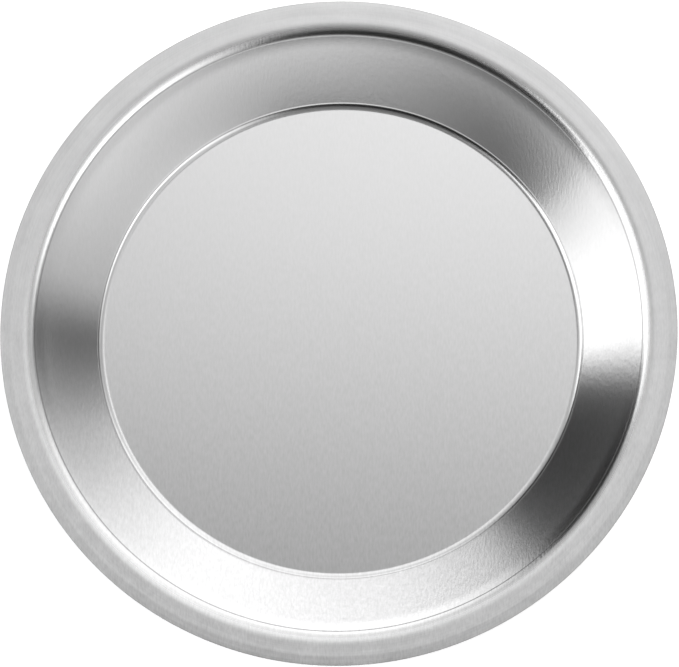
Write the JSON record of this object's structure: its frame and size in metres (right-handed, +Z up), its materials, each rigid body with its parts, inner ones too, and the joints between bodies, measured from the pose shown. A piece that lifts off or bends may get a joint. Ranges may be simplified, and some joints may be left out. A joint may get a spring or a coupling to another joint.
{
  "type": "pie tin",
  "caption": "Round one-piece pie tin of drawn sheet metal, with a flat base, a straight flared wall and a level turned-out rim.",
  "frame": {"origin": "centre of the underside of the base, on the surface that the tin stands on", "axes": "+Z up along the tin's axis, from the base to the open mouth; X and Y lie in the base, and the rolling grain of the sheet runs along Y"},
  "size_m": [0.254, 0.254, 0.021],
  "materials": {
    "sheet_metal": "satin rolled sheet with a fine grain in one direction, and a more matte rim"
  },
  "bodies": {
    "root": {"pie_tin": "sheet_metal"}
  },
  "joints": []
}
